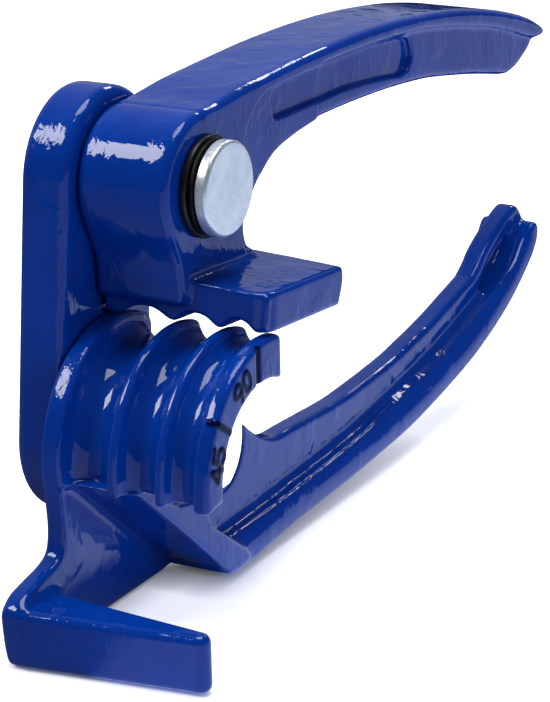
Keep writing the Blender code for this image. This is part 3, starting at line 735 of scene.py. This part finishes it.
# flange along the handle's upper side: its top line, then its low line
TOP_FLANGE = (
    smooth([(8.0, 64.9), (22.0, 66.2), (36.0, 66.6), (52.0, 66.9), (64.0, 66.8), (77.0, 66.4),
            (90.0, 65.6), (104.0, 64.2), (118.7, 62.2), (133.8, 59.3), (147.0, 56.0),
            (157.5, 52.7), (163.6, 50.1), (167.0, 48.3)])
    + smooth([(167.2, 46.6), (163.0, 46.6), (157.8, 47.9), (141.2, 53.2), (120.0, 57.9),
              (104.9, 60.5), (90.4, 61.9), (70.0, 62.9), (50.0, 63.2), (36.0, 62.8),
              (14.0, 62.0), (8.0, 58.0)]))
BODY = (
    smooth([(153.0, 40.9), (148.8, 40.8), (138.3, 43.1), (130.3, 44.8), (122.5, 46.3),
            (114.8, 47.7), (107.2, 48.9), (92.6, 50.4), (78.5, 51.3), (64.9, 51.8), (56.0, 51.8),
            (46.4, 50.8), (38.4, 49.2), (32.0, 45.8)])
    + [(26.0, 60.0), (36.0, 64.4), (50.0, 64.8), (70.0, 64.4), (93.0, 63.2), (113.0, 60.8),
       (132.0, 57.4), (148.0, 53.2), (161.0, 48.6)]
    + smooth([(163.6, 47.0), (162.0, 44.4), (157.4, 42.2), (154.6, 41.2)], 4))
POCKET = (
    smooth([(38.0, 56.2), (52.8, 55.8), (61.0, 55.5), (70.4, 55.3), (84.2, 54.0), (93.6, 52.7)])
    + smooth([(97.4, 53.0), (99.6, 55.4), (98.8, 59.0), (97.4, 60.2)], 4)
    + smooth([(93.8, 60.8), (82.0, 61.7), (70.0, 62.2), (50.0, 62.7), (38.0, 62.4)], 4)
    + [(36.4, 60.0)])
STEP = (
    smooth([(22.6, 52.0), (23.6, 56.6), (26.6, 60.4), (31.1, 62.9), (36.4, 63.6)])
    + [(57.0, 63.3), (57.0, 48.0), (36.0, 33.0), (22.6, 33.4)]
    + smooth([(21.7, 36.0), (21.5, 41.0), (22.0, 47.0)], 5))
# the shoe, in axes tilted with it: (along, Y) plan and (along, up) cut at its nose
SHOE_PLAN = ([(-2.6, -0.8), (28.6, -0.8), (28.6, -36.9)]
             + arc((1.4, -32.9), 4.0, -90, -180, 8))
SHOE_NOSE = [(27.6, 22.0), (27.6, 25.9), (29.2, 29.9), (27.4, 37.9), (40.0, 37.9), (40.0, 22.0)]


def shoe_field(x, y, z):
    a = math.radians(SHOE_TILT)
    u = x * F32(math.cos(a)) - z * F32(math.sin(a))
    v = x * F32(math.sin(a)) + z * F32(math.cos(a))
    u, y, v = np.broadcast_arrays(u, y, v)
    d = slab(polygon(SHOE_PLAN, u, y), between(v, SHOE_PLANE, SHOE_TOP), 0.8)
    # the top drops a little towards the front
    d = both(d, (v - F32(SHOE_TOP) + F32(0.06) * np.maximum(0, -y - F32(15.0))), 0.8)
    d = cut(d, polygon(SHOE_NOSE, u, v), 0.9)
    for groove_y, half in GROOVES:
        radius = (half * half + SHOE_GROOVE ** 2) / (2 * SHOE_GROOVE)
        axis_v = SHOE_PLANE + SHOE_GROOVE - radius
        d = cut(d, np.hypot(y - F32(groove_y), v - F32(axis_v)) - F32(radius), 1.0)
    return d.astype(F32)


def build_upper_casting():
    vol = Volume((-12, -40.5, 21), (171, 2.2, 70))
    vol.add(prism([HEAD, TOP_FLANGE], 0, HEAD_FACE, edge=1.8, blend=1.5))
    vol.add(Shape(shoe_field, (-6, -38, 22), (34, 1, 38)), fillet=1.2)
    vol.add(prism([BODY], -UPPER_EDGE, HEAD_FACE + UPPER_EDGE, edge=UPPER_EDGE), fillet=0.8)
    vol.cut(prism([POCKET], HEAD_FACE + POCKET_DEPTH, -30), edge=0.35)
    vol.cut(prism([POCKET], -POCKET_DEPTH, 10), edge=0.35)
    vol.cut(prism([STEP], HEAD_FACE + UPPER_EDGE, -30), edge=0.35)
    vol.cut(drum(BORE_R, 6, -40, TOP), edge=0.5)
    # raised pointer on the shoe's front end
    vol.add(rod((1.65, -35.95, 31.6), (0.95, -35.75, 26.5), 0.7), fillet=0.3)
    vol.flatten_back()
    vol.soften()
    casting("upper_casting_shell", vol, "handle", "upper_casting")


# ------------------------------------------------------------------ pins, washers, clips
def washer(name, node, slot, centre, inner, outer, front, back, body="link", wave=None, edge=0.2):
    profile = []
    for radius, y, start in ((outer - edge, front + edge, -90), (outer - edge, back - edge, 0),
                             (inner + edge, back - edge, 90), (inner + edge, front + edge, 180)):
        profile += arc((radius, y), edge, start, start + 90, 3)
    fit(name, lathe(name, profile, centre, wave), body, node, slot)


def pin(name, node, centre, head_back):
    """Headed pin: slightly hollow head with a rounded rim, grooved shank, rounded end."""
    head_front = head_back - PIN_HEAD_T
    end = LINK_Y1 + PIN_PROUD
    tip, rim, back_rim = 0.7, 0.75, 0.35       # rounding radii
    groove_r, groove_half = PIN_R - 1.2, 0.65
    profile = [(0, end), (PIN_R - 1.5, end)] + arc((PIN_R - tip, end - tip), tip, 90, 0, 5)
    profile += [(PIN_R, CLIP_Y + groove_half), (groove_r, CLIP_Y + groove_half),
                (groove_r, CLIP_Y - groove_half), (PIN_R, CLIP_Y - groove_half),
                (PIN_R, head_back + 0.2), (PIN_R + 0.2, head_back)]
    profile += arc((PIN_HEAD_R - back_rim, head_back - back_rim), back_rim, 90, 0, 4)
    profile += arc((PIN_HEAD_R - rim, head_front + rim), rim, 0, -90, 7)
    # radius and depth of the head's hollow
    for radius, depth in ((PIN_HEAD_R - 1.6, 0.02), (PIN_HEAD_R - 2.6, 0.05), (2.5, 0.09),
                          (0.4, 0.10), (0, 0.10)):
        profile.append((radius, head_front + depth))
    fit(name, lathe(name, profile, centre), "link", node, "zinc")


def build_pins():
    bore = PIN_R + GAP
    back = HEAD_FACE - GAP
    washer("upper_pin_washer_ring", "upper_pin_washer", "black_washer", TOP, bore, WASHER_R,
           back - 1.3, back, edge=0.35)
    washer("upper_wave_washer_ring", "upper_wave_washer", "spring_steel", TOP, bore,
           WASHER_R - 0.5, back - 2.6, back - 1.9,
           wave=lambda a: 0.15 * (1 + np.cos(3 * a)), edge=0.12)
    pin("upper_pin_turned", "upper_pin", TOP, back - 2.6 - GAP)
    back = HUB_FACE - GAP
    washer("lower_pin_washer_ring", "lower_pin_washer", "zinc", LOW, bore, WASHER_R,
           back - 1.5, back)
    pin("lower_pin_turned", "lower_pin", LOW, back - 1.5 - GAP)
    for tag, centre, face, body in (("upper", TOP, HEAD_FACE, "handle"),
                                    ("lower", LOW, HUB_FACE, "frame")):
        washer(tag + "_bush_sleeve", tag + "_bush", "bronze", centre, BUSH_BORE_R, BUSH_R,
               face + BUSH_INSET, -BUSH_INSET, body=body)
    for tag, centre in (("top", TOP), ("low", LOW)):
        washer(tag + "_thrust_ring", tag + "_thrust_washer", "nylon", centre, bore, WASHER_R,
               LINK_Y0, LINK_Y0 + 1.2)
        washer(tag + "_back_ring", tag + "_back_washer", "zinc", centre, bore, CBORE_R - 0.4,
               CBORE_FLOOR + GAP, CBORE_FLOOR + GAP + 1.0)


def finish_clips():
    """The clips keep their CAD shape, with broken edges."""
    for name in ("top_retaining_ring", "low_retaining_ring"):
        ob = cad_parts[name]
        ob.data.materials.clear()
        ob.data.materials.append(FINISHES["spring_steel"])
        bevel = ob.modifiers.new("broken_edges", "BEVEL")
        bevel.width = 0.00012
        bevel.segments = 2
        bevel.limit_method = "ANGLE"
        bevel.angle_limit = math.radians(40)


# ------------------------------------------------------------------ camera, floor, light
def direction(azimuth, elevation):
    """Unit vector from the tool; azimuth 0 is the front and 90 is +X."""
    return Vector((math.sin(azimuth) * math.cos(elevation),
                   -math.cos(azimuth) * math.cos(elevation), math.sin(elevation)))


def build_camera():
    azimuth, elevation, roll = (math.radians(a) for a in (-60.86, 18.82, -1.25))
    pivot = Vector((0, -15, 20))
    shift_right, shift_up, distance = 20.41, -1.13, 581.04       # mm
    back = direction(azimuth, elevation)
    level = Vector((math.cos(azimuth), math.sin(azimuth), 0))
    upright = back.cross(level)
    right = level * math.cos(roll) + upright * math.sin(roll)
    up = upright * math.cos(roll) - level * math.sin(roll)
    eye = pivot + right * shift_right + up * shift_up + back * distance
    eye = (eye - Vector(ORIGIN)) * MM
    data = bpy.data.cameras.new("camera")
    data.sensor_width = 36.0
    data.lens = 154.502564
    data.clip_start, data.clip_end = 0.05, 20.0
    camera = link_object("camera", data)
    camera.matrix_world = Matrix((*zip(right, up, back, eye), (0, 0, 0, 1)))
    bpy.context.scene.camera = camera


def make_sweep():
    """White floor, lifted towards white for the camera except for a painted contact shadow near the
    tool; other rays see a painted glow that falls off away from the tool and a painted shadow under
    it.
    """
    material, g = new_material("white_sweep")
    g.fill("Principled BSDF", {
        "Base Color": g.ramp(g.noise(scale=2.0, detail=2),
                             stops=[(0.2, (0.90, 0.905, 0.92)), (0.8, (0.92, 0.925, 0.935))]),
        "Roughness": 0.75,
        "Specular IOR Level": 0.1,
        "Emission Color": (0.93, 0.95, 1.0, 1),
    })
    # painted contact shadow: the lift towards white fades where the floor is occluded close to the
    # tool
    painted_contact_shadow = g.node("AmbientOcclusion", {"Distance": 0.008}).outputs["AO"]
    floor_lift = 0.80
    g.fill("Principled BSDF", {"Emission Strength": g.math("MULTIPLY", painted_contact_shadow, floor_lift)})

    # painted floor light for every ray but the camera's: an emission brightest near the tool and
    # fainter further off
    position = g.node("NewGeometry").outputs["Position"]
    away = g.node("VectorMath", {0: position, 1: (0.0, 0.0, 0.0)}, operation="DISTANCE")
    painted_floor_glow = g.node("Emission")
    painted_glow_fall_off = g.remap(away.outputs["Value"], across=(0.0, 0.5), to=(0, 1))
    g.feed(painted_floor_glow, {"Color": g.ramp(painted_glow_fall_off, stops=[
        (0.14, (0.86, 1.00, 1.30)), (0.40, (0.66, 0.73, 0.92)), (0.80, (0.54, 0.58, 0.72))])})
    # painted shadow: the glow is dimmed behind the tool's front, less so well to its left
    axes = g.node("SeparateXYZ", {0: position}).outputs
    g.feed(painted_floor_glow, {"Strength": g.math(
        "MAXIMUM", g.remap(axes["Y"], across=(-0.006, 0.000), to=(1.0, 0.02)),
        g.remap(axes["X"], across=(-0.05, -0.10), to=(0.0, 0.32)))})
    g.split_rays(others=painted_floor_glow, camera=g.tree.nodes["Principled BSDF"], output="Material Output")
    return material


def build_floor():
    bm = bmesh.new()
    bmesh.ops.create_grid(bm, x_segments=8, y_segments=8, size=4.0)
    mesh = bpy.data.meshes.new("floor")
    bm.to_mesh(mesh)
    bm.free()
    floor = link_object("floor", mesh)
    floor.location = (0, 0, -0.0002)
    mesh.materials.append(make_sweep())


def soft_box(name, azimuth, elevation, distance, size, power, colour=(1, 1, 1)):
    """Rectangular light aimed at the tool; angles in degrees."""
    target = Vector((-0.03, 0.0, 0.04))
    outward = direction(math.radians(azimuth), math.radians(elevation))
    light = bpy.data.lights.new(name, "AREA")
    light.shape = "RECTANGLE"
    light.size, light.size_y = size
    light.energy = power
    light.color = colour
    ob = link_object(name, light)
    ob.location = target + outward * distance
    ob.rotation_mode = "QUATERNION"
    ob.rotation_quaternion = outward.to_track_quat("Z", "Y")
    return ob


def build_lights():
    soft_box("key_left_back", azimuth=-141, elevation=46, distance=1.0, size=(0.38, 0.27),
             power=4.6)
    soft_box("right_strip", azimuth=93, elevation=36, distance=1.0, size=(0.26, 0.12), power=0.9)
    soft_box("overhead", azimuth=60, elevation=84, distance=0.9, size=(0.50, 0.50), power=5.6)
    fill = soft_box("front_fill", azimuth=-20, elevation=18, distance=1.6, size=(0.5, 0.4),
                    power=5.0, colour=(0.92, 0.96, 1.0))
    fill.visible_glossy = False


def build_world():
    """Bright behind, above and to the right of the tool, dim on the camera's side."""
    world = bpy.data.worlds.new("studio")
    bpy.context.scene.world = world
    world.use_nodes = True
    g = Graph(world.node_tree)
    bright_side = Vector((0.55, 0.80, 0.22)).normalized()
    facing = g.node("VectorMath", {0: g.position["Generated"], 1: bright_side},
                    operation="DOT_PRODUCT").outputs["Value"]
    g.fill("Background", {
        "Color": g.ramp(g.remap(facing, across=(-1, 1), to=(0, 1)),
                        stops=[(0.68, (0.06, 0.065, 0.085)), (0.90, (0.34, 0.36, 0.42))]),
        "Strength": 1.0,
    })
    backdrop = g.node("Background", {"Color": (1, 1, 1, 1), "Strength": 1.2})
    g.split_rays(others=g.tree.nodes["Background"], camera=backdrop, output="World Output")


build_lower_casting()
build_link()
build_upper_casting()
build_pins()
finish_clips()
build_camera()
build_floor()
build_lights()
build_world()
view = bpy.context.scene.view_settings
view.view_transform = "Standard"
view.look = "None"
view.exposure = 0.0
